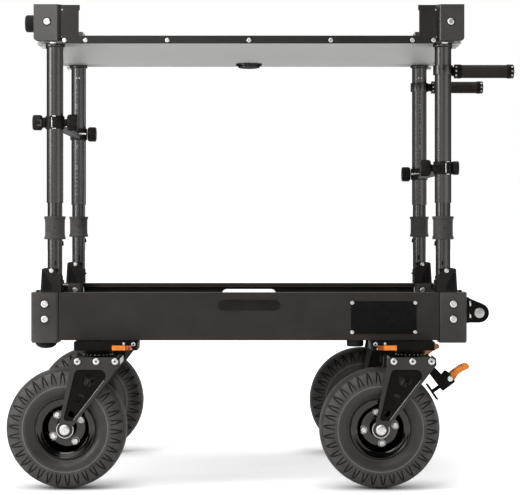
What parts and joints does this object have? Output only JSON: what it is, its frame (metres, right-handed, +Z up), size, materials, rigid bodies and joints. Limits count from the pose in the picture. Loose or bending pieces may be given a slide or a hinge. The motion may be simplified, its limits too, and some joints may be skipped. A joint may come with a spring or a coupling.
{
  "type": "folding utility cart",
  "caption": "Folding cart with a tray base on large swivel casters, telescoping corner posts, a top shelf, clamps and fold-out grip handles.",
  "frame": {"origin": "on the floor, under the middle of the whole cart's bounding box", "axes": "+X runs along the cart towards the handles and the lift bar, -Y is the front in the picture, +Z is up"},
  "size_m": [1.1002, 0.7326, 1.0413],
  "materials": {
    "satin_black": "satin black paint",
    "tube_black": "dark satin",
    "shelf_metal": "light grey underside, dark deck and edges",
    "steel": "bright",
    "rubber": "matt",
    "tyre": "matt dark grey",
    "gloss_black": "gloss black",
    "orange": "satin orange",
    "knob": "matt black"
  },
  "bodies": {
    "base": {"front_rail": "satin_black", "rear_rail": "satin_black", "tray": "satin_black", "tow_bar": "satin_black", "front_left_corner": "satin_black", "front_right_corner": "satin_black", "rear_left_corner": "satin_black", "rear_right_corner": "satin_black", "front_left_mount": "satin_black", "front_right_mount": "satin_black", "rear_left_mount": "satin_black", "rear_right_mount": "satin_black"},
    "shelf": {"shelf_panel": "shelf_metal", "front_left_block": "satin_black", "front_right_block": "satin_black", "rear_left_block": "satin_black", "rear_right_block": "satin_black"},
    "stub_knob": {"stub_knob": "knob"},
    "left_lower_posts": {"front_left_lower_post": "tube_black", "rear_left_lower_post": "tube_black"},
    "left_upper_posts": {"front_left_upper_post": "tube_black", "rear_left_upper_post": "tube_black", "left_clamp_bar": "tube_black"},
    "front_left_knob": {"front_left_knob": "knob"},
    "rear_left_knob": {"rear_left_knob": "knob"},
    "right_lower_posts": {"front_right_lower_post": "tube_black", "rear_right_lower_post": "tube_black"},
    "right_upper_posts": {"front_right_upper_post": "tube_black", "rear_right_upper_post": "tube_black", "right_clamp_bar": "tube_black"},
    "front_right_knob": {"front_right_knob": "knob"},
    "rear_right_knob": {"rear_right_knob": "knob"},
    "front_handle": {"front_handle": "rubber"},
    "rear_handle": {"rear_handle": "rubber"},
    "front_left_fork": {"front_left_fork": "satin_black", "front_left_axle": "steel"},
    "front_left_wheel": {"front_left_rim": "gloss_black", "front_left_tyre": "tyre"},
    "front_left_swivel_lock": {"front_left_swivel_lock": "orange"},
    "front_right_fork": {"front_right_fork": "satin_black", "front_right_axle": "steel", "front_right_brake_bracket": "satin_black"},
    "front_right_wheel": {"front_right_rim": "gloss_black", "front_right_tyre": "tyre"},
    "front_right_swivel_lock": {"front_right_swivel_lock": "orange"},
    "front_right_brake_lever": {"front_right_brake_lever": "orange"},
    "front_right_brake_pad": {"front_right_brake_pad": "rubber"},
    "rear_left_fork": {"rear_left_fork": "satin_black", "rear_left_axle": "steel"},
    "rear_left_wheel": {"rear_left_rim": "gloss_black", "rear_left_tyre": "tyre"},
    "rear_left_swivel_lock": {"rear_left_swivel_lock": "orange"},
    "rear_right_fork": {"rear_right_fork": "satin_black", "rear_right_axle": "steel", "rear_right_brake_bracket": "satin_black"},
    "rear_right_wheel": {"rear_right_rim": "gloss_black", "rear_right_tyre": "tyre"},
    "rear_right_swivel_lock": {"rear_right_swivel_lock": "orange"},
    "rear_right_brake_lever": {"rear_right_brake_lever": "orange"},
    "rear_right_brake_pad": {"rear_right_brake_pad": "rubber"}
  },
  "joints": [
    {"name": "shelf_lift", "type": "slide", "parent": "base", "child": "shelf", "axis": [0, 0, 1], "range_m": [-0.025, 0.1]},
    {"name": "left_fold", "type": "hinge", "parent": "base", "child": "left_lower_posts", "pos_m": [-0.45409, 0, 0.4665], "axis": [0, 1, 0], "range_deg": [0, 85]},
    {"name": "left_extend", "type": "slide", "parent": "left_lower_posts", "child": "left_upper_posts", "axis": [0, 0, 1], "range_m": [-0.0251, 0.1001]},
    {"name": "front_left_knob_turn", "type": "hinge", "parent": "left_upper_posts", "child": "front_left_knob", "pos_m": [-0.40789, -0.274, 0.787], "axis": [1, 0, 0], "range_deg": [0, 360]},
    {"name": "rear_left_knob_turn", "type": "hinge", "parent": "left_upper_posts", "child": "rear_left_knob", "pos_m": [-0.40789, 0.274, 0.787], "axis": [1, 0, 0], "range_deg": [0, 360]},
    {"name": "right_fold", "type": "hinge", "parent": "base", "child": "right_lower_posts", "pos_m": [0.39831, 0, 0.4665], "axis": [0, -1, 0], "range_deg": [0, 66]},
    {"name": "right_extend", "type": "slide", "parent": "right_lower_posts", "child": "right_upper_posts", "axis": [0, 0, 1], "range_m": [-0.0251, 0.1001]},
    {"name": "front_right_knob_turn", "type": "hinge", "parent": "right_upper_posts", "child": "front_right_knob", "pos_m": [0.35211, -0.274, 0.6885], "axis": [1, 0, 0], "range_deg": [0, 360]},
    {"name": "rear_right_knob_turn", "type": "hinge", "parent": "right_upper_posts", "child": "rear_right_knob", "pos_m": [0.35211, 0.274, 0.6885], "axis": [1, 0, 0], "range_deg": [0, 360]},
    {"name": "front_handle_swing", "type": "hinge", "parent": "right_upper_posts", "child": "front_handle", "pos_m": [0.39311, -0.274, 0.898], "axis": [0, 0, 1], "range_deg": [0, 90]},
    {"name": "rear_handle_swing", "type": "hinge", "parent": "right_upper_posts", "child": "rear_handle", "pos_m": [0.39311, 0.274, 0.903], "axis": [0, 0, -1], "range_deg": [0, 90]},
    {"name": "stub_knob_turn", "type": "hinge", "parent": "shelf", "child": "stub_knob", "pos_m": [-0.49239, -0.2565, 1.0035], "axis": [1, 0, 0], "range_deg": [0, 360]},
    {"name": "front_left_swivel", "type": "hinge", "parent": "base", "child": "front_left_fork", "pos_m": [-0.35239, -0.305, 0.284], "axis": [0, 0, 1], "continuous": true},
    {"name": "front_left_roll", "type": "hinge", "parent": "front_left_fork", "child": "front_left_wheel", "pos_m": [-0.41939, -0.305, 0.13], "axis": [0, 1, 0], "continuous": true},
    {"name": "front_left_lock", "type": "hinge", "parent": "base", "child": "front_left_swivel_lock", "pos_m": [-0.27389, -0.3588, 0.304], "axis": [0, 0, 1], "range_deg": [0, 80]},
    {"name": "front_right_swivel", "type": "hinge", "parent": "base", "child": "front_right_fork", "pos_m": [0.31961, -0.305, 0.284], "axis": [0, 0, 1], "continuous": true},
    {"name": "front_right_roll", "type": "hinge", "parent": "front_right_fork", "child": "front_right_wheel", "pos_m": [0.25261, -0.305, 0.13], "axis": [0, 1, 0], "continuous": true},
    {"name": "front_right_lock", "type": "hinge", "parent": "base", "child": "front_right_swivel_lock", "pos_m": [0.24111, -0.3588, 0.304], "axis": [0, 0, -1], "range_deg": [0, 80]},
    {"name": "front_right_brake", "type": "hinge", "parent": "front_right_fork", "child": "front_right_brake_lever", "pos_m": [0.40311, -0.305, 0.2359], "axis": [0, 1, 0], "range_deg": [0, 35]},
    {"name": "front_right_pad_press", "type": "slide", "parent": "front_right_fork", "child": "front_right_brake_pad", "axis": [-0.829, 0, -0.5592], "range_m": [0, 0.00398]},
    {"name": "rear_left_swivel", "type": "hinge", "parent": "base", "child": "rear_left_fork", "pos_m": [-0.35239, 0.305, 0.284], "axis": [0, 0, 1], "continuous": true},
    {"name": "rear_left_roll", "type": "hinge", "parent": "rear_left_fork", "child": "rear_left_wheel", "pos_m": [-0.41939, 0.305, 0.13], "axis": [0, 1, 0], "continuous": true},
    {"name": "rear_left_lock", "type": "hinge", "parent": "base", "child": "rear_left_swivel_lock", "pos_m": [-0.27389, 0.3588, 0.304], "axis": [0, 0, -1], "range_deg": [0, 80]},
    {"name": "rear_right_swivel", "type": "hinge", "parent": "base", "child": "rear_right_fork", "pos_m": [0.31961, 0.305, 0.284], "axis": [0, 0, 1], "continuous": true},
    {"name": "rear_right_roll", "type": "hinge", "parent": "rear_right_fork", "child": "rear_right_wheel", "pos_m": [0.25261, 0.305, 0.13], "axis": [0, 1, 0], "continuous": true},
    {"name": "rear_right_lock", "type": "hinge", "parent": "base", "child": "rear_right_swivel_lock", "pos_m": [0.24111, 0.3588, 0.304], "axis": [0, 0, 1], "range_deg": [0, 80]},
    {"name": "rear_right_brake", "type": "hinge", "parent": "rear_right_fork", "child": "rear_right_brake_lever", "pos_m": [0.40311, 0.305, 0.2359], "axis": [0, 1, 0], "range_deg": [0, 35]},
    {"name": "rear_right_pad_press", "type": "slide", "parent": "rear_right_fork", "child": "rear_right_brake_pad", "axis": [-0.829, 0, -0.5592], "range_m": [0, 0.00398]}
  ],
  "couplings": [
    {"joint": "left_extend", "follows": "shelf_lift", "ratio": 1},
    {"joint": "right_extend", "follows": "shelf_lift", "ratio": 1},
    {"joint": "front_right_pad_press", "follows": "front_right_brake", "m_per_rad": 0.0065},
    {"joint": "rear_right_pad_press", "follows": "rear_right_brake", "m_per_rad": 0.0065}
  ]
}
